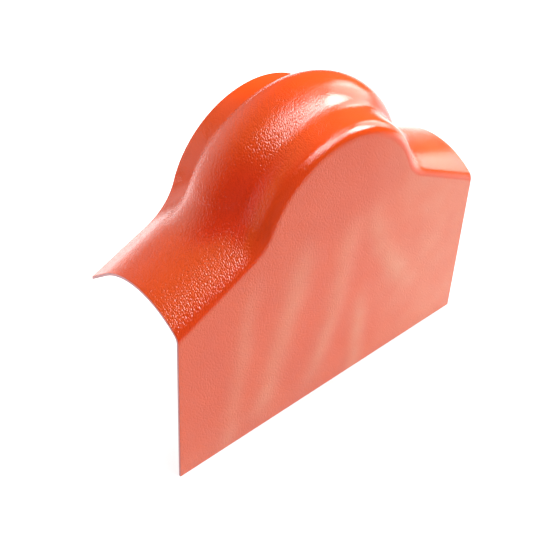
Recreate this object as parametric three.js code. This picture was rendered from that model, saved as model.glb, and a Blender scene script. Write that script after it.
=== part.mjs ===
import * as THREE from 'three';

// Ridge end tile: one formed resin sheet that closes the gable end of a roof ridge.
// Millimetres, +Z up. The flat plate faces -Y and the open side is behind it.
// The tile is the same left and right of x = 0. The origin is on the plate's back
// face, which is the face that lies against the gable.

const DEGREE = Math.PI / 180;

// overall sizes
const TILE_WIDTH = 400;
const TILE_DEPTH = 130;
const SHEET_THICKNESS = 3;
const ORIGIN_ABOVE_BOTTOM_EDGE = 93;

// the shoulders: an arched strip that falls outward with the roof
const ROOF_PITCH = 23.5 * DEGREE; // from the crest back
const FRONT_PITCH = 27 * DEGREE; // along the plate, where the shoulders fall a little faster
const ARCH_CREST_HEIGHT = 206; // at the tile's ends, above the bottom edge
const ARCH_CREST_DEPTH = 61; // behind the plate's front face
const ARCH_FRONT_RADIUS = 89;
const ARCH_BACK_RADIUS = 75;
const ARCH_TAIL_SLOPE = 39 * DEGREE; // straight part down to the back edge

// the hump over the ridge roll, measured from its own axis along Y
const HUMP_AXIS_HEIGHT = 207.5; // from the bead back
const FRONT_AXIS_RISE = 3; // the axis lies this much higher at the plate
const FRONT_BAND_RADIUS = 105.3; // where the band would meet the plate's front face
const FRONT_BAND_SLOPE = 10.8 * DEGREE;
const BEAD_DEPTH = 68.5; // middle of the half-round bead
const BEAD_SECTION_RADIUS = 39.5;
const BEAD_SEAT_RADIUS = 91.5; // from the hump axis to the middle of the bead's section
const BACK_BAND_RADIUS = 105.5;

// roundings
const PLATE_ROUNDING = 12;
const FRONT_CREASE_ROUNDING = 18;
const BACK_CREASE_ROUNDING = 7;
const FOOT_ROUNDING_FRONT = 52; // hollow between hump and shoulder at the plate
const FOOT_ROUNDING_BACK = 60; // the same at the back edge

// how finely the curves are cut into flats
const ARC_STEPS = 17; // half of the hump
const FOOT_STEPS = 7;
const SHOULDER_STEPS = 3;
const PLATE_ROUNDING_STEPS = 5;
const FRONT_BAND_STEPS = 2;
const FRONT_CREASE_STEPS = 4;
const BEAD_STEPS = 13;
const BACK_CREASE_STEPS = 3;
const BACK_BAND_STEPS = 3;

function mix(a, b, share) {
  return a + (b - a) * share;
}

// From 0 to 1 with a soft start and end.
function eased(share) {
  const held = Math.min(Math.max(share, 0), 1);
  return held * held * (3 - 2 * held);
}

// A rounding that touches a straight line and, from outside, a circle at (0, 0).
// The line lies at a distance from the circle's middle and runs away along (ex, ey);
// (nx, ny) is its normal on the side of the rounding.
function roundingBetween(circleRadius, distance, ex, ey, nx, ny, rounding) {
  const height = distance + rounding;
  const reach = circleRadius + rounding;
  const along = Math.sqrt(reach * reach - height * height);
  const middle = [height * nx + along * ex, height * ny + along * ey];
  return {
    rounding,
    middle,
    onCircle: Math.atan2(middle[1], middle[0]),
    onLine: [middle[0] - rounding * nx, middle[1] - rounding * ny],
    lineAngle: Math.atan2(-ny, -nx),
  };
}

// The hump's section along the depth, as depth and distance from the hump axis.
const bandTangent = Math.tan(FRONT_BAND_SLOPE);
const bandCos = Math.cos(FRONT_BAND_SLOPE);
const bandSin = Math.sin(FRONT_BAND_SLOPE);
const humpRoundingMiddle = FRONT_BAND_RADIUS + PLATE_ROUNDING * (bandTangent - 1 / bandCos);
const humpRoundingTurn = Math.PI / 2 - FRONT_BAND_SLOPE;
const bandAtBead = FRONT_BAND_RADIUS + BEAD_DEPTH * bandTangent;
const frontCrease = roundingBetween(
  BEAD_SECTION_RADIUS,
  (bandAtBead - BEAD_SEAT_RADIUS) * bandCos,
  -bandCos,
  -bandSin,
  -bandSin,
  bandCos,
  FRONT_CREASE_ROUNDING,
);
const backCrease = roundingBetween(
  BEAD_SECTION_RADIUS,
  BACK_BAND_RADIUS - BEAD_SEAT_RADIUS,
  1,
  0,
  0,
  1,
  BACK_CREASE_ROUNDING,
);

function fromBeadMiddle(point) {
  return { depth: BEAD_DEPTH + point[0], radius: BEAD_SEAT_RADIUS + point[1] };
}

function onRounding(crease, angle) {
  return fromBeadMiddle([
    crease.middle[0] + crease.rounding * Math.cos(angle),
    crease.middle[1] + crease.rounding * Math.sin(angle),
  ]);
}

// v counts through the section: 0 to 1 the rounding behind the plate, 1 to 2 the front
// band, 2 to 3 its crease, 3 to 4 the bead, 4 to 5 the back crease, 5 to 6 the back band.
function humpSection(v) {
  if (v <= 1) {
    const turn = v * humpRoundingTurn;
    return {
      depth: PLATE_ROUNDING * (1 - Math.cos(turn)),
      radius: humpRoundingMiddle + PLATE_ROUNDING * Math.sin(turn),
    };
  }
  if (v <= 2) {
    const start = humpSection(1);
    const end = fromBeadMiddle(frontCrease.onLine);
    return {
      depth: mix(start.depth, end.depth, v - 1),
      radius: mix(start.radius, end.radius, v - 1),
    };
  }
  if (v <= 3) {
    const onBead = frontCrease.onCircle - Math.PI;
    return onRounding(frontCrease, mix(frontCrease.lineAngle, onBead, v - 2));
  }
  if (v <= 4) {
    const angle = mix(frontCrease.onCircle, backCrease.onCircle, v - 3);
    return fromBeadMiddle([
      BEAD_SECTION_RADIUS * Math.cos(angle),
      BEAD_SECTION_RADIUS * Math.sin(angle),
    ]);
  }
  if (v <= 5) {
    const onBead = backCrease.onCircle - Math.PI;
    return onRounding(backCrease, mix(onBead, backCrease.lineAngle, v - 4));
  }
  const start = fromBeadMiddle(backCrease.onLine);
  return { depth: mix(start.depth, TILE_DEPTH, v - 5), radius: BACK_BAND_RADIUS };
}

// The shoulder's section along the depth at the tile's ends.
const archFrontMiddle = ARCH_CREST_HEIGHT - ARCH_FRONT_RADIUS;
const archRoundingRise = Math.sqrt(
  (ARCH_FRONT_RADIUS - PLATE_ROUNDING) ** 2 - (ARCH_CREST_DEPTH - PLATE_ROUNDING) ** 2,
);
const archRoundingMiddle = archFrontMiddle + archRoundingRise;
const archRoundingTurn = Math.atan2(archRoundingRise, ARCH_CREST_DEPTH - PLATE_ROUNDING);
const tailDepth = ARCH_CREST_DEPTH + ARCH_BACK_RADIUS * Math.sin(ARCH_TAIL_SLOPE);
const tailHeight = ARCH_CREST_HEIGHT - ARCH_BACK_RADIUS * (1 - Math.cos(ARCH_TAIL_SLOPE));

function archHeight(depth) {
  if (depth > tailDepth) {
    return tailHeight - (depth - tailDepth) * Math.tan(ARCH_TAIL_SLOPE);
  }
  const radius = depth < ARCH_CREST_DEPTH ? ARCH_FRONT_RADIUS : ARCH_BACK_RADIUS;
  const away = depth - ARCH_CREST_DEPTH;
  return ARCH_CREST_HEIGHT - radius + Math.sqrt(radius * radius - away * away);
}

function shoulderSection(v) {
  if (v <= 1) {
    const turn = v * archRoundingTurn;
    return {
      depth: PLATE_ROUNDING * (1 - Math.cos(turn)),
      height: archRoundingMiddle + PLATE_ROUNDING * Math.sin(turn),
    };
  }
  const humpStart = humpSection(1).depth;
  const shoulderStart = PLATE_ROUNDING * (1 - Math.cos(archRoundingTurn));
  const share = (humpSection(v).depth - humpStart) / (TILE_DEPTH - humpStart);
  const depth = mix(shoulderStart, TILE_DEPTH, share);
  return { depth, height: archHeight(depth) };
}

// The outline across the tile at one depth. u counts from the middle outward:
// 0 to 1 the hump's arc, 1 to 2 the hollow at its foot, 2 to 3 the straight shoulder.
function outlinePoint(u, pitch, endHeight, axisHeight, humpRadius, footRounding) {
  const ex = Math.cos(pitch);
  const ey = -Math.sin(pitch);
  const nx = Math.sin(pitch);
  const ny = Math.cos(pitch);
  const rise = endHeight - axisHeight;
  const distance = (TILE_WIDTH / 2) * nx + rise * ny;
  const foot = roundingBetween(humpRadius, distance, ex, ey, nx, ny, footRounding);
  if (u <= 1) {
    const angle = mix(Math.PI / 2, foot.onCircle, u);
    return {
      x: humpRadius * Math.cos(angle),
      z: axisHeight + humpRadius * Math.sin(angle),
      outward: 0,
    };
  }
  if (u <= 2) {
    const share = u - 1;
    const angle = mix(foot.onCircle - Math.PI, foot.lineAngle, share);
    return {
      x: foot.middle[0] + footRounding * Math.cos(angle),
      z: axisHeight + foot.middle[1] + footRounding * Math.sin(angle),
      outward: eased(share),
    };
  }
  return {
    x: mix(foot.onLine[0], TILE_WIDTH / 2, u - 2),
    z: axisHeight + mix(foot.onLine[1], rise, u - 2),
    outward: 1,
  };
}

// A point of the sheet's outer face behind the plate, heights above the bottom edge.
function outerPoint(u, v) {
  const hump = humpSection(v);
  const shoulder = shoulderSection(v);
  const pitch = mix(FRONT_PITCH, ROOF_PITCH, eased(shoulder.depth / ARCH_CREST_DEPTH));
  const axisHeight = HUMP_AXIS_HEIGHT + FRONT_AXIS_RISE * (1 - eased(hump.depth / BEAD_DEPTH));
  const footRounding = mix(FOOT_ROUNDING_FRONT, FOOT_ROUNDING_BACK, hump.depth / TILE_DEPTH);
  const side = u < 0 ? -1 : 1;
  const outline = outlinePoint(
    Math.abs(u),
    pitch,
    shoulder.height,
    axisHeight,
    hump.radius,
    footRounding,
  );
  const depth = mix(hump.depth, shoulder.depth, outline.outward);
  return new THREE.Vector3(side * outline.x, depth, outline.z);
}

const STEP = 1e-4;

function acrossAt(u, v) {
  const low = Math.max(u - STEP, -3);
  const high = Math.min(u + STEP, 3);
  return outerPoint(high, v).sub(outerPoint(low, v)).normalize();
}

function alongAt(u, v) {
  const low = Math.max(v - STEP, 0);
  const high = Math.min(v + STEP, 6);
  return outerPoint(u, high).sub(outerPoint(u, low)).normalize();
}

// The same point on the inner face, one sheet thickness in along the normal, then
// slid along the sheet so that the ends and the back edge are cut square.
function innerPoint(u, v) {
  const across = acrossAt(u, v);
  const along = alongAt(u, v);
  const inward = new THREE.Vector3().crossVectors(along, across).normalize();
  const point = outerPoint(u, v).addScaledVector(inward, SHEET_THICKNESS);
  if (v === 6) {
    point.addScaledVector(along, (TILE_DEPTH - point.y) / along.y);
  }
  if (Math.abs(u) === 3) {
    const end = Math.sign(u) * (TILE_WIDTH / 2);
    point.addScaledVector(across, (end - point.x) / across.x);
  }
  if (v === 6) {
    point.y = TILE_DEPTH;
  }
  return point;
}

function stepsThrough(counts) {
  const values = [0];
  counts.forEach((count, segment) => {
    for (let i = 1; i <= count; i += 1) {
      values.push(segment + i / count);
    }
  });
  return values;
}

const rightHalf = stepsThrough([ARC_STEPS, FOOT_STEPS, SHOULDER_STEPS]);
const leftHalf = rightHalf.slice(1).reverse().map((u) => -u);
const columns = [...leftHalf, ...rightHalf];
const rows = stepsThrough([
  PLATE_ROUNDING_STEPS,
  FRONT_BAND_STEPS,
  FRONT_CREASE_STEPS,
  BEAD_STEPS,
  BACK_CREASE_STEPS,
  BACK_BAND_STEPS,
]);

// The bottom edge of the plate gets one point for each column.
function bottomPoint(column, depth) {
  const share = column / (columns.length - 1);
  return new THREE.Vector3(mix(-TILE_WIDTH / 2, TILE_WIDTH / 2, share), depth, 0);
}

function sheetGeometry() {
  const outer = [columns.map((u, i) => bottomPoint(i, 0))];
  const inner = [columns.map((u, i) => bottomPoint(i, SHEET_THICKNESS))];
  rows.forEach((v) => {
    outer.push(columns.map((u) => outerPoint(u, v)));
    inner.push(columns.map((u) => innerPoint(u, v)));
  });
  const width = columns.length;
  const height = outer.length;
  const positions = [];
  const addPoint = (point) => {
    positions.push(point.x);
    positions.push(point.y - SHEET_THICKNESS);
    positions.push(point.z - ORIGIN_ABOVE_BOTTOM_EDGE);
  };
  outer.forEach((row) => row.forEach(addPoint));
  inner.forEach((row) => row.forEach(addPoint));

  const indices = [];
  const quad = (a, b, c, d) => {
    indices.push(a, b, c);
    indices.push(a, c, d);
  };
  const out = (i, j) => j * width + i;
  const inn = (i, j) => (height + j) * width + i;
  for (let j = 0; j < height - 1; j += 1) {
    for (let i = 0; i < width - 1; i += 1) {
      quad(out(i, j), out(i + 1, j), out(i + 1, j + 1), out(i, j + 1));
      quad(inn(i, j), inn(i, j + 1), inn(i + 1, j + 1), inn(i + 1, j));
    }
  }
  const last = height - 1;
  for (let i = 0; i < width - 1; i += 1) {
    quad(out(i, 0), inn(i, 0), inn(i + 1, 0), out(i + 1, 0));
    quad(out(i, last), out(i + 1, last), inn(i + 1, last), inn(i, last));
  }
  const end = width - 1;
  for (let j = 0; j < height - 1; j += 1) {
    quad(out(0, j), out(0, j + 1), inn(0, j + 1), inn(0, j));
    quad(out(end, j), inn(end, j), inn(end, j + 1), out(end, j + 1));
  }
  const geometry = new THREE.BufferGeometry();
  geometry.setAttribute('position', new THREE.Float32BufferAttribute(positions, 3));
  geometry.setIndex(indices);
  geometry.computeVertexNormals();
  return geometry;
}

const resin = new THREE.MeshStandardMaterial({
  name: 'orange_resin',
  color: 0xe04a1e,
  roughness: 0.3,
  metalness: 0,
});

const tile = new THREE.Mesh(sheetGeometry(), resin);
tile.name = 'ridge_end_tile';

const part = new THREE.Group();
part.name = 'ridge_end_tile_part';
part.add(tile);

export default part;
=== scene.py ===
import math
from collections import namedtuple

import bpy
from mathutils import Matrix, Vector


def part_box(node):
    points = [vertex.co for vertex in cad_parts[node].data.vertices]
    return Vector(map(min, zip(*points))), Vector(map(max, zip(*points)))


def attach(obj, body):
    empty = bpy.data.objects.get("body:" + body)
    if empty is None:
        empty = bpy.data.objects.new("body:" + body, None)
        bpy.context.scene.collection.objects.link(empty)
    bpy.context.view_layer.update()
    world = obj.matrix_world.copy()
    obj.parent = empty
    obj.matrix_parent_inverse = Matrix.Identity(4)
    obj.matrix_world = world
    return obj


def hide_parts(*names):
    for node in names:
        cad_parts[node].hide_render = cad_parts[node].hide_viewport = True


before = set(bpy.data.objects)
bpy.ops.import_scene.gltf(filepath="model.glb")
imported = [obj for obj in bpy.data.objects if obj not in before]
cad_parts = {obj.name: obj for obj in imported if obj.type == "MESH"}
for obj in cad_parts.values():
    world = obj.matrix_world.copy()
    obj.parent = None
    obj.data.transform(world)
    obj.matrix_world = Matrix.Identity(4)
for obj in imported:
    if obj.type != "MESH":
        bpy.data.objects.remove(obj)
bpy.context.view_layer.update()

MM = 0.001
DEGREE = math.pi / 180
NODE = "ridge_end_tile"

# The sheet's sizes, in metres, as in the solid. The outer ones come from the frame.
node_low, node_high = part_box(NODE)
HALF_WIDTH = (node_high.x - node_low.x) / 2
DEPTH = node_high.y - node_low.y
FRONT = node_low.y
BOTTOM = node_low.z
SHEET = 3 * MM

# The shoulders: an arched strip that falls outward with the roof.
ROOF_PITCH = 23.5 * DEGREE
FRONT_PITCH = 27 * DEGREE
ARCH_CREST_HEIGHT = 206 * MM
ARCH_CREST_DEPTH = 61 * MM
ARCH_FRONT_RADIUS = 89 * MM
ARCH_BACK_RADIUS = 75 * MM
ARCH_TAIL_SLOPE = 39 * DEGREE

# The hump over the ridge roll, measured from its own axis along Y.
HUMP_AXIS_HEIGHT = 207.5 * MM
FRONT_AXIS_RISE = 3 * MM
FRONT_BAND_RADIUS = 105.3 * MM
FRONT_BAND_SLOPE = 10.8 * DEGREE
BEAD_DEPTH = 68.5 * MM
BEAD_SECTION_RADIUS = 39.5 * MM
BEAD_SEAT_RADIUS = 91.5 * MM
BACK_BAND_RADIUS = 105.5 * MM

# Roundings. An edge that turns by more than ROUNDED_EDGE_ANGLE is rounded.
PLATE_ROUNDING = 12 * MM
FRONT_CREASE_ROUNDING = 18 * MM
BACK_CREASE_ROUNDING = 7 * MM
FOOT_ROUNDING_FRONT = 52 * MM
FOOT_ROUNDING_BACK = 60 * MM
EDGE_ROUNDING = 0.8 * MM
EDGE_ROUNDING_STEPS = 3
ROUNDED_EDGE_ANGLE = 60 * DEGREE

# A place on the sheet has two counts. u goes outward from the middle and is negative on the
# left. Its whole numbers end the hump's arc, the hollow at its foot and the shoulder.
HUMP_END, FOOT_END, SHOULDER_END = 1, 2, 3

# v goes back from the plate. Its whole numbers end the rounding behind the plate, the front
# band, its crease, the bead, the back crease and the back band.
ROUNDING_END, BAND_END, CREASE_END, BEAD_END, BACK_CREASE_END, SECTION_END = 1, 2, 3, 4, 5, 6

# The step in u or v over which the sheet's slope is measured.
TINY = 1e-4

# How finely the sheet is divided: along its outline, through its section and up the plate. A
# row close to each cut edge keeps the shading even up to it.
OUTLINE_STEPS = (54, 20, 26)
SECTION_STEPS = (8, 6, 6, 34, 6, 8)
PLATE_STEPS = 86
EDGE_ROW = 1.4 * MM
BOTTOM_ROW_SHARE = 0.007

# The slack folds that the forming left in the plate, each with painted sheen along it. A
# fold's line runs from its top down, as places across the plate and heights over its bottom
# edge. The line, the half width and how proud the fold stands are in millimetres; pale is how
# strong the fold's painted sheen is.
Fold = namedtuple("Fold", "line half_width proud pale")
FOLDS = (
    Fold(
        line=((-112, 195), (-120, 150), (-122, 110), (-131, 70), (-136, 35), (-143, -10)),
        half_width=13,
        proud=0.3,
        pale=0.30,
    ),
    Fold(
        line=((-49, 205), (-58, 150), (-70, 110), (-82, 70), (-92, 35), (-97, 25)),
        half_width=17,
        proud=0.45,
        pale=0.50,
    ),
    Fold(
        line=((15, 205), (7, 150), (2, 110), (-10, 70), (-22, 35), (-24, 30)),
        half_width=16,
        proud=0.5,
        pale=0.44,
    ),
    Fold(
        line=((46, 205), (52, 190), (68, 150), (95, 110), (112, 80)),
        half_width=16,
        proud=0.4,
        pale=0.46,
    ),
    Fold(
        line=((38, 100), (40, 70), (40, 35), (40, -40)),
        half_width=13,
        proud=0.4,
        pale=0.52,
    ),
)

# Where a fold fades: about both ends of its line, in millimetres, and near the plate's edges.
FOLD_END_FADE = (-30, 30)
FOLD_BOTTOM_FADE = (0, 30 * MM)
FOLD_SIDE_FADE = (0, 40 * MM)

# How strong the plate's painted sheen is besides the folds: all over, toward its right and
# at its bottom left.
PLATE_SHEEN = 0.09
RIGHT_SHEEN = 0.46
RIGHT_SHEEN_STRETCH = (10 * MM, 150 * MM)
LOW_SHEEN = 0.12
LOW_SHEEN_HEIGHT = (0, 70 * MM)
LOW_SHEEN_WIDTH = (0, 60 * MM)

# How deep the grain is in each part of the sheet, as a share of GRAIN_DEPTH.
PLATE_LEFT_GRAIN = 1.05
PLATE_RIGHT_GRAIN = 0.5
PLATE_GRAIN_STRETCH = (-100 * MM, 100 * MM)
FRONT_BAND_GRAIN = 0.5
HUMP_GRAIN = 0.9
HUMP_RIGHT_GRAIN = 0.2
LEFT_SHOULDER_GRAIN = 1.1
RIGHT_SHOULDER_GRAIN = 0.3
LEFT_SHARE_AT_ROUNDING = 0.35
GRAIN_LOST_AT_BACK = 0.6

# Where the grain changes, in u or v.
RIM = (0.0, 0.3)
OFF_THE_ROUNDING = (0.8, 1.6)
INTO_THE_BAND = (1.0, 1.5)
TOWARD_THE_BACK = (3.8, 5.0)
OVER_THE_MIDDLE = (-0.2, 0.2)
ONTO_THE_SHOULDER = (1.2, 1.8)

# Where shade is painted into the colour, in u or v: in the hollow of the hump's foot, and at
# the rounding on the left.
HOLLOW_INNER_SIDE = (0.35, 0.85)
HOLLOW_OUTER_SIDE = (1.5, 2.2)
HOLLOW_FRONT = (1.0, 2.0)
HOLLOW_BACK = (3.1, 3.6)
ROUNDING_BACK = (0.9, 1.5)
ROUNDING_LEFT = (0.1, 0.6)
ROUNDING_PAINTED_SHADE = 0.5

# The resin's colours, and its grain of pebbles, which are drawn out along one direction.
ORANGE = (0.650, 0.064, 0.006)
DEEP_ORANGE = (0.610, 0.055, 0.005)
PAINTED_SHADE_ORANGE = (0.625, 0.030, 0.003)
PAINTED_SHEEN_ORANGE = (0.663, 0.207, 0.110)
CORE_RED = (0.35, 0.14, 0.147)
CORE_PALE = (0.45, 0.23, 0.235)
GRAIN_SIZE = 1.55 * MM
GRAIN_DEPTH = 0.46 * MM
GRAIN_RUN = Vector((0.45, 0.45, 0.77))
GRAIN_DRAWN_OUT = 1.5
GRAIN_DISORDER = 0.75
PEBBLE_TOP = 0.3

# The sizes of the patches, waves and marks in each material, how deep they are, and the
# roughness that each material has at the least and at the most.
CLOUD_SIZE = 60 * MM
BLOTCH_SIZE = 45 * MM
BLOTCH_STRENGTH = (0.8, 1.2)
POLISH_SIZE = 14 * MM
OUTER_ROUGHNESS = (0.06, 0.10)
INNER_CLOUD_SIZE = 80 * MM
INNER_WAVE_SIZE = 6 * MM
INNER_WAVE_DEPTH = 0.12 * MM
INNER_POLISH_SIZE = 20 * MM
INNER_ROUGHNESS = (0.42, 0.55)
TRIM_MARK_SIZE = 0.9 * MM
TRIM_MARK_DEPTH = 0.08 * MM
EDGE_ROUGHNESS = (0.5, 0.65)

# Noise: most of its values fall in the wider of two stretches, and the narrower one gives more
# contrast. Its detail is how many finer layers it has.
NOISE_STRETCH = (0.3, 0.7)
CLOUD_STRETCH = (0.35, 0.65)
COARSE_DETAIL = 2.0
FINE_DETAIL = 3.0

# The table, and its painted light: a glow of its own, which grows toward the back along a
# slant, to the left, where it lifts the tile's shadow, and in the front right corner.
TABLE_FRONT = -0.42
TABLE_BACK = 1.15
TABLE_LEFT = -1.2
TABLE_RIGHT = 1.5
TABLE_DARK = (0.27, 0.27, 0.27)
TABLE_PALE = (0.29, 0.29, 0.29)
TABLE_CLOUD_SIZE = 0.4
TABLE_GRAIN_SIZE = 1.5 * MM
TABLE_GRAIN_DEPTH = 0.02 * MM
TABLE_ROUGHNESS = (0.8, 0.9)
WHITE = (1.0, 1.0, 1.0, 1.0)
BACK_SLANT = -0.4
BACK_STRETCH = (0.0, 0.60)
BACK_GLOW = (0.60, 1.65)
LEFT_STRETCH = (-0.19, -0.34)
LEFT_GLOW = (0.0, 0.25)
CORNER_RIGHT_STRETCH = (0.55, 0.9)
CORNER_GLOW = (0.0, 1.3)
CORNER_FRONT_STRETCH = (0.1, -0.1)

# The light panels stand round one point of the tile, and face it.
PANEL_AIM = Vector((0, 50 * MM, BOTTOM + 220 * MM))
SHINE_DISTANCE = 2.5
GLOW_DISTANCE = 2.6

# The brightness of the room, and of what the camera sees behind the table.
ROOM_LIGHT = 0.12
BACKDROP = 1.0

# The photograph's frame and the camera that took it.
IMAGE_SIDE = 550
FOCAL_PIXELS = 1114
SENSOR = 36.0
CAMERA_AZIMUTH = -44.59 * DEGREE
CAMERA_ELEVATION = 39.71 * DEGREE
CAMERA_ROLL = 3.19 * DEGREE
CAMERA_DISTANCE = 1.024
CAMERA_TARGET = Vector((-86.2 * MM, FRONT, BOTTOM + 196.4 * MM))


# Shape of the sheet

def mix(a, b, share):
    return a + (b - a) * share


def smooth(share):
    """Eases a share at both ends, and keeps it from 0 to 1."""
    share = min(max(share, 0.0), 1.0)
    return share * share * (3 - 2 * share)


def ramp(value, stretch):
    """Goes smoothly from 0 to 1 over a stretch of values."""
    start, end = stretch
    return smooth((value - start) / (end - start))


def pointing(angle):
    return Vector((math.cos(angle), math.sin(angle)))


class Rounding:
    """An arc that touches a straight line and, from outside, a circle at (0, 0)."""

    def __init__(self, circle_radius, distance, direction, normal, radius):
        height = distance + radius
        along = math.sqrt((circle_radius + radius) ** 2 - height ** 2)
        self.radius = radius
        self.middle = normal * height + direction * along
        self.on_line = self.middle - normal * radius
        self.line_angle = math.atan2(-normal.y, -normal.x)
        self.circle_angle = math.atan2(self.middle.y, self.middle.x)

    def point(self, share):
        """From the circle, at 0, to the line, at 1."""
        angle = mix(self.circle_angle - math.pi, self.line_angle, share)
        return self.middle + self.radius * pointing(angle)


def plate_rounding(turn, height):
    """A point of the rounding behind the plate, which starts at a height."""
    depth = PLATE_ROUNDING * (1 - math.cos(turn))
    return Vector((depth, height + PLATE_ROUNDING * math.sin(turn)))


band_at_bead = FRONT_BAND_RADIUS + BEAD_DEPTH * math.tan(FRONT_BAND_SLOPE)
front_crease = Rounding(
    circle_radius=BEAD_SECTION_RADIUS,
    distance=(band_at_bead - BEAD_SEAT_RADIUS) * math.cos(FRONT_BAND_SLOPE),
    direction=-pointing(FRONT_BAND_SLOPE),
    normal=pointing(FRONT_BAND_SLOPE + math.pi / 2),
    radius=FRONT_CREASE_ROUNDING,
)
back_crease = Rounding(
    circle_radius=BEAD_SECTION_RADIUS,
    distance=BACK_BAND_RADIUS - BEAD_SEAT_RADIUS,
    direction=Vector((1, 0)),
    normal=Vector((0, 1)),
    radius=BACK_CREASE_ROUNDING,
)
bead_middle = Vector((BEAD_DEPTH, BEAD_SEAT_RADIUS))
hump_rounding_turn = math.pi / 2 - FRONT_BAND_SLOPE
hump_rounding_height = FRONT_BAND_RADIUS + PLATE_ROUNDING * (
    math.tan(FRONT_BAND_SLOPE) - 1 / math.cos(FRONT_BAND_SLOPE)
)
band_start = plate_rounding(hump_rounding_turn, hump_rounding_height)


def hump_section(v):
    """Depth and distance from the hump's axis."""
    if v <= ROUNDING_END:
        return plate_rounding(v * hump_rounding_turn, hump_rounding_height)
    if v <= BAND_END:
        return band_start.lerp(bead_middle + front_crease.on_line, v - ROUNDING_END)
    if v <= CREASE_END:
        return bead_middle + front_crease.point(CREASE_END - v)
    if v <= BEAD_END:
        angle = mix(front_crease.circle_angle, back_crease.circle_angle, v - CREASE_END)
        return bead_middle + BEAD_SECTION_RADIUS * pointing(angle)
    if v <= BACK_CREASE_END:
        return bead_middle + back_crease.point(v - BEAD_END)
    end = Vector((DEPTH, BACK_BAND_RADIUS))
    return (bead_middle + back_crease.on_line).lerp(end, v - BACK_CREASE_END)


arch_rounding_run = ARCH_CREST_DEPTH - PLATE_ROUNDING
arch_rounding_rise = math.sqrt(
    (ARCH_FRONT_RADIUS - PLATE_ROUNDING) ** 2 - arch_rounding_run ** 2
)
arch_rounding_height = ARCH_CREST_HEIGHT - ARCH_FRONT_RADIUS + arch_rounding_rise
arch_rounding_turn = math.atan2(arch_rounding_rise, arch_rounding_run)
arch_start = plate_rounding(arch_rounding_turn, arch_rounding_height)
tail_depth = ARCH_CREST_DEPTH + ARCH_BACK_RADIUS * math.sin(ARCH_TAIL_SLOPE)
tail_height = ARCH_CREST_HEIGHT - ARCH_BACK_RADIUS * (1 - math.cos(ARCH_TAIL_SLOPE))


def arch_height(depth):
    """The height of the shoulder's arch behind its rounding, at the tile's ends."""
    if depth > tail_depth:
        return tail_height - (depth - tail_depth) * math.tan(ARCH_TAIL_SLOPE)
    radius = ARCH_FRONT_RADIUS if depth < ARCH_CREST_DEPTH else ARCH_BACK_RADIUS
    return ARCH_CREST_HEIGHT - radius + math.sqrt(radius ** 2 - (depth - ARCH_CREST_DEPTH) ** 2)


def shoulder_section(v):
    """Depth and height of the shoulder at the tile's ends."""
    if v <= ROUNDING_END:
        return plate_rounding(v * arch_rounding_turn, arch_rounding_height)
    share = (hump_section(v).x - band_start.x) / (DEPTH - band_start.x)
    depth = mix(arch_start.x, DEPTH, share)
    return Vector((depth, arch_height(depth)))


def sections(v):
    """The sections through the hump and through the shoulder's end."""
    return hump_section(v), shoulder_section(v)


def outer_point(u, v, at_v=None):
    """A point of the outer face. at_v may hold the sections at v, worked out beforehand."""
    hump, shoulder = at_v or sections(v)
    pitch = mix(FRONT_PITCH, ROOF_PITCH, smooth(shoulder.x / ARCH_CREST_DEPTH))
    direction = Vector((math.cos(pitch), -math.sin(pitch)))
    normal = Vector((math.sin(pitch), math.cos(pitch)))
    axis_height = HUMP_AXIS_HEIGHT + FRONT_AXIS_RISE * (1 - smooth(hump.x / BEAD_DEPTH))
    foot_radius = mix(FOOT_ROUNDING_FRONT, FOOT_ROUNDING_BACK, hump.x / DEPTH)
    end = Vector((HALF_WIDTH, shoulder.y - axis_height))
    foot = Rounding(hump.y, end.dot(normal), direction, normal, foot_radius)
    away = abs(u)
    if away <= HUMP_END:
        point = hump.y * pointing(mix(math.pi / 2, foot.circle_angle, away))
    elif away <= FOOT_END:
        point = foot.point(away - HUMP_END)
    else:
        point = foot.on_line.lerp(end, away - FOOT_END)
    depth = mix(hump.x, shoulder.x, smooth(away - HUMP_END))
    return Vector((math.copysign(point.x, u), FRONT + depth, BOTTOM + axis_height + point.y))


def inner_point(u, v, nearby):
    """One sheet thickness in from the outer face, with the ends and back edge cut square.
    nearby holds the sections just before, at and just after v."""
    before, here, after = nearby
    left = outer_point(max(u - TINY, -SHOULDER_END), v, here)
    right = outer_point(min(u + TINY, SHOULDER_END), v, here)
    across = (right - left).normalized()
    along = (outer_point(u, v, after) - outer_point(u, v, before)).normalized()
    point = outer_point(u, v, here) + SHEET * along.cross(across).normalized()
    if v == SECTION_END:
        point += along * ((FRONT + DEPTH - point.y) / along.y)
    if abs(u) == SHOULDER_END:
        point += across * ((math.copysign(HALF_WIDTH, u) - point.x) / across.x)
    if v == SECTION_END:
        point.y = FRONT + DEPTH
    return point


def fold_strength(fold, x, z):
    """How near a point of the plate is to a fold's crest, from 0 to 1."""
    height = (z - BOTTOM) / MM
    top, low = fold.line[0][1], fold.line[-1][1]
    level = min(max(height, low), top)
    for (x1, z1), (x2, z2) in zip(fold.line, fold.line[1:]):
        if z2 <= level <= z1:
            crest = mix(x1, x2, (z1 - level) / (z1 - z2))
    fade = ramp(height - low, FOLD_END_FADE) * ramp(top - height, FOLD_END_FADE)
    return fade * math.exp(-(((x / MM - crest) / fold.half_width) ** 2))


def fold_height(x, z):
    """How far the folds stand forward at a point of the plate."""
    fade = ramp(z - BOTTOM, FOLD_BOTTOM_FADE) * ramp(HALF_WIDTH - abs(x), FOLD_SIDE_FADE)
    return fade * sum(fold_strength(fold, x, z) * fold.proud * MM for fold in FOLDS)


def plate_painted_sheen(x, z):
    """How much painted sheen pales the plate: along the folds, toward its right and at its
    bottom left.
    """
    folds = sum(fold_strength(fold, x, z) * fold.pale for fold in FOLDS)
    right = RIGHT_SHEEN * ramp(x, RIGHT_SHEEN_STRETCH)
    low = LOW_SHEEN * (1 - ramp(z - BOTTOM, LOW_SHEEN_HEIGHT)) * (1 - ramp(x, LOW_SHEEN_WIDTH))
    return min(PLATE_SHEEN + folds + right + low, 1.0)


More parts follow.
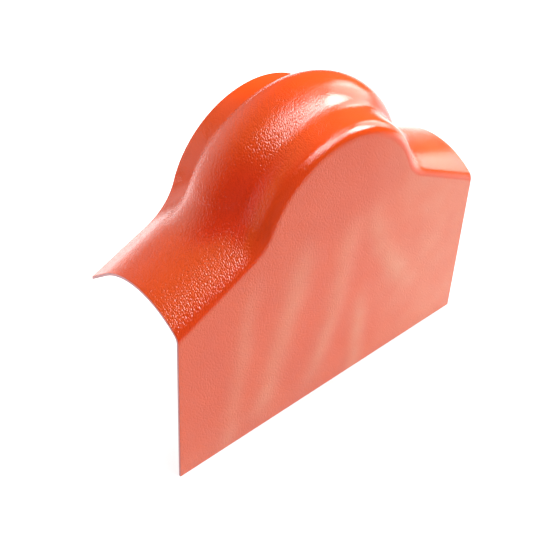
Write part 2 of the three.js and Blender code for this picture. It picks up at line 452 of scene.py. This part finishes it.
def plate_grain(x):
    """How deep the plate's grain is: less toward the right."""
    return mix(PLATE_LEFT_GRAIN, PLATE_RIGHT_GRAIN, ramp(x, PLATE_GRAIN_STRETCH))


def formed_grain(u, v):
    """How deep the formed part's grain is: most on the left shoulder, less on the front band,
    least on the right, and pressed flatter at the rounding and toward the back."""
    hump = mix(FRONT_BAND_GRAIN, HUMP_GRAIN, ramp(v, INTO_THE_BAND))
    hump = mix(hump, HUMP_RIGHT_GRAIN, ramp(u, OVER_THE_MIDDLE))
    left = mix(LEFT_SHARE_AT_ROUNDING, 1.0, ramp(v, OFF_THE_ROUNDING)) * ramp(-u, ONTO_THE_SHOULDER)
    grain = mix(hump, LEFT_SHOULDER_GRAIN, left)
    grain = mix(grain, RIGHT_SHOULDER_GRAIN, ramp(u, ONTO_THE_SHOULDER))
    grain *= 1 - GRAIN_LOST_AT_BACK * ramp(v, TOWARD_THE_BACK)
    return mix(plate_grain(outer_point(u, 0).x), grain, ramp(v, RIM))


def painted_shade_share(u, v):
    """How much painted shade darkens the colour: in the hollow of the hump's foot and, on the
    left, along the rounding."""
    away = abs(u)
    hollow = ramp(away, HOLLOW_INNER_SIDE) * (1 - ramp(away, HOLLOW_OUTER_SIDE))
    hollow *= ramp(v, HOLLOW_FRONT) * (1 - ramp(v, HOLLOW_BACK))
    rounding = ramp(v, RIM) * (1 - ramp(v, ROUNDING_BACK)) * ramp(-u, ROUNDING_LEFT)
    return max(hollow, ROUNDING_PAINTED_SHADE * rounding)


def counts_through(steps, last_length):
    """Counts from 0 through stretches of 1, each in its own number of steps. One more count
    stands close before the last, given the length of the last stretch."""
    counts = [0.0]
    for stretch, number in enumerate(steps):
        counts += [stretch + (i + 1) / number for i in range(number)]
    end = counts.pop()
    return counts + [end - EDGE_ROW / last_length, end]


def bottom_edge(columns, rim):
    """The plate's bottom edge: evenly divided under the hump and its feet, and straight
    below the rim's points under the shoulders."""
    between_feet = [i for i, u in enumerate(columns) if abs(u) <= FOOT_END]
    first, last = between_feet[0], between_feet[-1]
    across = [point.x for point in rim]
    for i in between_feet:
        across[i] = mix(rim[first].x, rim[last].x, (i - first) / (last - first))
    return [Vector((x, FRONT, BOTTOM)) for x in across]


def sheet_grids():
    """Rows of points on the outer and on the inner face, from the bottom edge upward, and
    the finish of each outer point: its grain, the painted shade that darkens its colour and
    the painted sheen that pales it."""
    right = counts_through(OUTLINE_STEPS, HALF_WIDTH - outer_point(FOOT_END, 0).x)
    columns = [-u for u in reversed(right[1:])] + right
    rows = counts_through(SECTION_STEPS, DEPTH - hump_section(BACK_CREASE_END).x)
    rim = [outer_point(u, 0) for u in columns]
    bottom = bottom_edge(columns, rim)
    heights = [0.0, BOTTOM_ROW_SHARE] + [step / PLATE_STEPS for step in range(1, PLATE_STEPS)]
    outer = []
    inner = []
    # Of the finish, depth holds the painted shade and the third value the painted sheen.
    finish = {"grain": [], "depth": [], "painted_sheen": []}
    for share in heights:
        flat = [low.lerp(high, share) for low, high in zip(bottom, rim)]
        folded = [point - Vector((0, fold_height(point.x, point.z), 0)) for point in flat]
        outer.append(folded)
        inner.append([point + Vector((0, SHEET, 0)) for point in folded])
        finish["grain"] += [plate_grain(point.x) for point in flat]
        finish["depth"] += [0.0] * len(flat)
        # Painted sheen on the plate.
        finish["painted_sheen"] += [plate_painted_sheen(point.x, point.z) for point in flat]
    for v in rows:
        nearby = [sections(min(max(v + step, 0), SECTION_END)) for step in (-TINY, 0, TINY)]
        outer.append([outer_point(u, v, nearby[1]) for u in columns])
        inner.append([inner_point(u, v, nearby) for u in columns])
        finish["grain"] += [formed_grain(u, v) for u in columns]
        # Painted shade in the hollow and along the left rounding.
        finish["depth"] += [painted_shade_share(u, v) for u in columns]
        finish["painted_sheen"] += [0.0] * len(columns)
    return outer, inner, finish


# The sheet's materials, in the order in which make_tile adds them.
OUTSIDE, INSIDE, CUT_EDGE = 0, 1, 2


def sheet_mesh():
    outer, inner, finish = sheet_grids()
    height = len(outer)
    width = len(outer[0])
    points = [point for row in outer + inner for point in row]
    faces = []
    materials = []

    def over(i, j):
        """The number of a point on the outer face."""
        return j * width + i

    def under(i, j):
        """The number of the point below it, on the inner face."""
        return (height + j) * width + i

    def add(face, material):
        faces.append(face)
        materials.append(material)

    for j in range(height - 1):
        for i in range(width - 1):
            add((over(i, j), over(i + 1, j), over(i + 1, j + 1), over(i, j + 1)), OUTSIDE)
            add((under(i, j), under(i, j + 1), under(i + 1, j + 1), under(i + 1, j)), INSIDE)
    top = height - 1
    for i in range(width - 1):
        add((over(i, 0), under(i, 0), under(i + 1, 0), over(i + 1, 0)), CUT_EDGE)
        add((over(i, top), over(i + 1, top), under(i + 1, top), under(i, top)), CUT_EDGE)
    end = width - 1
    for j in range(height - 1):
        add((over(0, j), over(0, j + 1), under(0, j + 1), under(0, j)), CUT_EDGE)
        add((over(end, j), under(end, j), under(end, j + 1), over(end, j + 1)), CUT_EDGE)
    mesh = bpy.data.meshes.new("formed_sheet")
    mesh.from_pydata(points, [], faces)
    mesh.polygons.foreach_set("material_index", materials)
    mesh.polygons.foreach_set("use_smooth", [True] * len(faces))
    for name, values in finish.items():
        layer = mesh.attributes.new(name, "FLOAT", "POINT")
        layer.data.foreach_set("value", values + [0.0] * len(values))
    mesh.update()
    return mesh


# Materials

# The colour sockets of a Mix node, whose names are shared with its other sockets.
MIX_FIRST, MIX_SECOND, MIX_RESULT = 6, 7, 2


class Nodes:
    """A material's node tree, with short ways to add and join nodes."""

    def __init__(self, name):
        self.material = bpy.data.materials.new(name)
        self.material.use_nodes = True
        self.tree = self.material.node_tree
        self.shader = self.tree.nodes["Principled BSDF"]
        self.place = self.add("ShaderNodeTexCoord").outputs["Object"]

    def add(self, kind, **settings):
        node = self.tree.nodes.new(kind)
        for name, value in settings.items():
            setattr(node, name, value)
        return node

    def join(self, source, target):
        self.tree.links.new(source, target)

    def noise(self, size, detail=COARSE_DETAIL):
        """Noise whose lumps are about size metres across."""
        noise = self.add("ShaderNodeTexNoise")
        noise.inputs["Scale"].default_value = 1 / size
        noise.inputs["Detail"].default_value = detail
        self.join(self.place, noise.inputs["Vector"])
        return noise.outputs["Fac"]

    def clouds(self, size):
        """Soft patches about size metres across, from 0 to 1."""
        return self.between(self.noise(size, FINE_DETAIL), CLOUD_STRETCH, (0, 1))

    def pebbles(self, size, place):
        """Rounded pebbles about size metres across: the height at each point, from PEBBLE_TOP
        on their tops down to less than 0 in the valleys between them."""
        cells = self.add("ShaderNodeTexVoronoi", feature="F1")
        cells.inputs["Scale"].default_value = 1 / size
        cells.inputs["Randomness"].default_value = GRAIN_DISORDER
        self.join(place, cells.inputs["Vector"])
        away = cells.outputs["Distance"]
        return self.maths("SUBTRACT", PEBBLE_TOP, self.maths("MULTIPLY", away, away))

    def drawn_out(self, direction, times):
        """Places pressed together along a direction, which draws a pattern out there."""
        along = self.add("ShaderNodeVectorMath", operation="DOT_PRODUCT")
        along.inputs[1].default_value = direction
        self.join(self.place, along.inputs[0])
        shift = self.add("ShaderNodeVectorMath", operation="SCALE")
        shift.inputs[0].default_value = direction
        share = self.maths("MULTIPLY", along.outputs["Value"], 1 - 1 / times)
        self.join(share, shift.inputs["Scale"])
        pressed = self.add("ShaderNodeVectorMath", operation="SUBTRACT")
        self.join(self.place, pressed.inputs[0])
        self.join(shift.outputs["Vector"], pressed.inputs[1])
        return pressed.outputs["Vector"]

    def between(self, value, stretch, results):
        """Takes a stretch of values evenly to a stretch of results, and stops at its ends."""
        spread = self.add("ShaderNodeMapRange")
        self.join(value, spread.inputs["Value"])
        names = ("From Min", "From Max", "To Min", "To Max")
        for name, number in zip(names, (*stretch, *results)):
            spread.inputs[name].default_value = number
        return spread.outputs["Result"]

    def blend(self, share, first, second):
        """A blend of two colours, each a tuple or an output."""
        blend = self.add("ShaderNodeMix", data_type="RGBA")
        self.join(share, blend.inputs["Factor"])
        for number, value in ((MIX_FIRST, first), (MIX_SECOND, second)):
            socket = blend.inputs[number]
            if isinstance(value, tuple):
                socket.default_value = (*value, 1.0)
            else:
                self.join(value, socket)
        return blend.outputs[MIX_RESULT]

    def attribute(self, name):
        return self.add("ShaderNodeAttribute", attribute_name=name).outputs["Fac"]

    def maths(self, operation, first, second):
        """A sum, difference or product of two values, each a number or an output."""
        node = self.add("ShaderNodeMath", operation=operation)
        for socket, value in zip(node.inputs, (first, second)):
            if isinstance(value, (int, float)):
                socket.default_value = value
            else:
                self.join(value, socket)
        return node.outputs["Value"]

    def bump(self, height, depth):
        bump = self.add("ShaderNodeBump")
        bump.inputs["Distance"].default_value = depth
        self.join(height, bump.inputs["Height"])
        return bump.outputs["Normal"]

    def finish(self, colour, roughness, normal):
        self.join(colour, self.shader.inputs["Base Color"])
        self.join(roughness, self.shader.inputs["Roughness"])
        self.join(normal, self.shader.inputs["Normal"])
        return self.material


def weather_side():
    """Glossy orange resin with a fine pebbled grain, with painted shade in the hollow and along the
    left rounding, and painted sheen on the plate, most along the folds."""
    nodes = Nodes("orange_resin")
    colour = nodes.blend(nodes.clouds(CLOUD_SIZE), ORANGE, DEEP_ORANGE)
    # Painted shade in the hollow of the hump's foot and along the left rounding.
    colour = nodes.blend(nodes.attribute("depth"), colour, PAINTED_SHADE_ORANGE)
    # Painted sheen on the plate, broken into blotches.
    blotches = nodes.between(nodes.noise(BLOTCH_SIZE), NOISE_STRETCH, BLOTCH_STRENGTH)
    pale = nodes.maths("MULTIPLY", nodes.attribute("painted_sheen"), blotches)
    colour = nodes.blend(pale, colour, PAINTED_SHEEN_ORANGE)
    pebbles = nodes.pebbles(GRAIN_SIZE, nodes.drawn_out(GRAIN_RUN, GRAIN_DRAWN_OUT))
    grain = nodes.maths("MULTIPLY", pebbles, nodes.attribute("grain"))
    normal = nodes.bump(grain, GRAIN_DEPTH)
    roughness = nodes.between(nodes.noise(POLISH_SIZE), NOISE_STRETCH, OUTER_ROUGHNESS)
    return nodes.finish(colour, roughness, normal)


def inner_side():
    """The same resin, plainer and duller, without the grain."""
    nodes = Nodes("orange_resin_inside")
    colour = nodes.blend(nodes.clouds(INNER_CLOUD_SIZE), ORANGE, DEEP_ORANGE)
    normal = nodes.bump(nodes.noise(INNER_WAVE_SIZE, FINE_DETAIL), INNER_WAVE_DEPTH)
    roughness = nodes.between(nodes.noise(INNER_POLISH_SIZE), NOISE_STRETCH, INNER_ROUGHNESS)
    return nodes.finish(colour, roughness, normal)


def cut_edge():
    """The trimmed edge, which shows the duller core of the sheet and fine trim marks."""
    nodes = Nodes("resin_core")
    marks = nodes.noise(TRIM_MARK_SIZE)
    colour = nodes.blend(nodes.between(marks, NOISE_STRETCH, (0, 1)), CORE_RED, CORE_PALE)
    normal = nodes.bump(marks, TRIM_MARK_DEPTH)
    roughness = nodes.between(marks, NOISE_STRETCH, EDGE_ROUGHNESS)
    return nodes.finish(colour, roughness, normal)


def make_tile():
    tile = bpy.data.objects.new("tile_sheet", sheet_mesh())
    bpy.context.scene.collection.objects.link(tile)
    for material in (weather_side(), inner_side(), cut_edge()):
        tile.data.materials.append(material)
    bevel = tile.modifiers.new("rounded_edges", "BEVEL")
    bevel.width = EDGE_ROUNDING
    bevel.segments = EDGE_ROUNDING_STEPS
    bevel.limit_method = "ANGLE"
    bevel.angle_limit = ROUNDED_EDGE_ANGLE
    bevel.harden_normals = True
    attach(tile, "root")
    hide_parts(NODE)


# Floor, light and camera

def table_glow(nodes):
    """How strongly the table glows at each place."""
    place = nodes.add("ShaderNodeSeparateXYZ")
    nodes.join(nodes.place, place.inputs["Vector"])
    x, y = place.outputs["X"], place.outputs["Y"]
    slanted = nodes.maths("ADD", y, nodes.maths("MULTIPLY", x, BACK_SLANT))
    behind = nodes.between(slanted, BACK_STRETCH, BACK_GLOW)
    # Painted light that lifts the tile's shadow off the table to its left.
    left = nodes.between(x, LEFT_STRETCH, LEFT_GLOW)
    right = nodes.between(x, CORNER_RIGHT_STRETCH, CORNER_GLOW)
    front = nodes.between(y, CORNER_FRONT_STRETCH, (0, 1))
    corner = nodes.maths("MULTIPLY", right, front)
    return nodes.maths("ADD", nodes.maths("ADD", behind, left), corner)


def glowing_table():
    """A matt table top that glows of itself: painted light."""
    nodes = Nodes("glowing_table")
    cloudy = nodes.noise(TABLE_CLOUD_SIZE)
    colour = nodes.blend(cloudy, TABLE_DARK, TABLE_PALE)
    normal = nodes.bump(nodes.noise(TABLE_GRAIN_SIZE), TABLE_GRAIN_DEPTH)
    nodes.shader.inputs["Emission Color"].default_value = WHITE
    nodes.join(table_glow(nodes), nodes.shader.inputs["Emission Strength"])
    return nodes.finish(colour, nodes.between(cloudy, (0, 1), TABLE_ROUGHNESS), normal)


def make_floor():
    """A table that looks pale by its own glow, larger than the camera's view."""
    points = [
        (TABLE_LEFT, TABLE_FRONT, BOTTOM),
        (TABLE_RIGHT, TABLE_FRONT, BOTTOM),
        (TABLE_RIGHT, TABLE_BACK, BOTTOM),
        (TABLE_LEFT, TABLE_BACK, BOTTOM),
    ]
    mesh = bpy.data.meshes.new("table")
    mesh.from_pydata(points, [], [(0, 1, 2, 3)])
    mesh.materials.append(glowing_table())
    floor = bpy.data.objects.new("table", mesh)
    bpy.context.scene.collection.objects.link(floor)


def towards(azimuth, elevation):
    """The direction from the tile to a place round it. Azimuth 0 is in front of the tile, and
    a quarter turn on is at its right."""
    level = math.cos(elevation)
    return Vector(
        (math.sin(azimuth) * level, -math.cos(azimuth) * level, math.sin(elevation))
    )


def make_panel(name, radiance, distance, azimuth, elevation, width, height):
    """An area light that faces PANEL_AIM. radiance is how bright it looks."""
    light = bpy.data.lights.new(name, "AREA")
    light.shape = "RECTANGLE"
    light.size = width
    light.size_y = height
    light.energy = radiance * math.pi * width * height
    panel = bpy.data.objects.new(name, light)
    direction = towards(azimuth * DEGREE, elevation * DEGREE)
    panel.location = PANEL_AIM + direction * distance
    panel.rotation_mode = "QUATERNION"
    panel.rotation_quaternion = direction.to_track_quat("Z", "Y")
    panel.visible_camera = False
    bpy.context.scene.collection.objects.link(panel)
    return panel


def make_shine(name, shine, **place):
    """A panel that shows in reflections."""
    panel = make_panel(name + "_shine", shine, SHINE_DISTANCE, **place)
    panel.visible_diffuse = False


def make_glow(name, glow, **place):
    """A panel that lights the tile without showing in reflections."""
    panel = make_panel(name + "_glow", glow, GLOW_DISTANCE, **place)
    panel.visible_glossy = False


def make_window(name, shine, glow, **place):
    """Both kinds of panel, one behind the other."""
    make_shine(name, shine, **place)
    make_glow(name, glow, **place)


def make_lights():
    """Soft panels, with their places in degrees and their sizes in metres."""
    make_window("window_left", shine=15, glow=8.2, azimuth=23, elevation=47, width=0.85, height=1.75)
    make_window("window_right", shine=22, glow=3.4, azimuth=59, elevation=30, width=0.85, height=1.2)
    make_window("window_far", shine=4.6, glow=6.0, azimuth=86, elevation=20.8, width=1.3, height=1.72)
    make_shine("window_side", shine=3.8, azimuth=102.5, elevation=20, width=0.5, height=0.85)
    make_shine("window_sill", shine=1.3, azimuth=95, elevation=-6, width=0.97, height=0.39)
    make_window("window_top", shine=5.0, glow=1.5, azimuth=12, elevation=68, width=1.7, height=0.55)
    make_window("window_bridge", shine=5.0, glow=2.0, azimuth=72, elevation=60, width=1.4, height=0.5)
    make_window("skylight", shine=0.36, glow=0.25, azimuth=-160, elevation=60, width=1.8, height=1.6)
    make_window("skylight_right", shine=0.08, glow=5.9, azimuth=92, elevation=50, width=2.5, height=2.2)
    make_glow("wall_far", glow=13.5, azimuth=108, elevation=22, width=1.2, height=1.2)
    make_window("wall_behind", shine=0.93, glow=0.55, azimuth=-140, elevation=16, width=3.0, height=1.6)
    make_window("wall_left", shine=0.1, glow=5.0, azimuth=-125, elevation=10, width=2.0, height=1.2)
    make_window("wall_front", shine=0.1, glow=0.5, azimuth=-25, elevation=8, width=2.0, height=1.0)
    make_glow("floor_front", glow=1.5, azimuth=-10, elevation=-12, width=2.5, height=0.8)
    make_window("wall_right", shine=0.05, glow=0.3, azimuth=112, elevation=6, width=1.1, height=0.7)
    make_window("backdrop", shine=0.7, glow=0.2, azimuth=-171, elevation=14, width=2.6, height=2.2)


def make_world():
    """A dim room for the light, with a pale backdrop behind the table."""
    world = bpy.data.worlds.new("room")
    world.use_nodes = True
    tree = world.node_tree
    room = tree.nodes["Background"]
    room.inputs["Color"].default_value = (ROOM_LIGHT, ROOM_LIGHT, ROOM_LIGHT, 1)
    backdrop = tree.nodes.new("ShaderNodeBackground")
    backdrop.inputs["Color"].default_value = (BACKDROP, BACKDROP, BACKDROP, 1)
    rays = tree.nodes.new("ShaderNodeLightPath")
    choose = tree.nodes.new("ShaderNodeMixShader")
    tree.links.new(rays.outputs["Is Camera Ray"], choose.inputs["Fac"])
    tree.links.new(room.outputs[0], choose.inputs[1])
    tree.links.new(backdrop.outputs[0], choose.inputs[2])
    tree.links.new(choose.outputs[0], tree.nodes["World Output"].inputs["Surface"])
    bpy.context.scene.world = world


def make_camera():
    camera = bpy.data.objects.new("camera", bpy.data.cameras.new("camera"))
    camera.data.sensor_width = SENSOR
    camera.data.lens = FOCAL_PIXELS / IMAGE_SIDE * SENSOR
    back = towards(CAMERA_AZIMUTH, CAMERA_ELEVATION)
    right = Vector((0, 0, 1)).cross(back).normalized()
    up = back.cross(right)
    tilted_right = math.cos(CAMERA_ROLL) * right + math.sin(CAMERA_ROLL) * up
    tilted_up = math.cos(CAMERA_ROLL) * up - math.sin(CAMERA_ROLL) * right
    turn = Matrix((tilted_right, tilted_up, back)).transposed().to_4x4()
    camera.matrix_world = Matrix.Translation(CAMERA_TARGET + back * CAMERA_DISTANCE) @ turn
    bpy.context.scene.collection.objects.link(camera)
    bpy.context.scene.camera = camera
    bpy.context.scene.view_settings.view_transform = "Standard"


make_tile()
make_floor()
make_lights()
make_world()
make_camera()
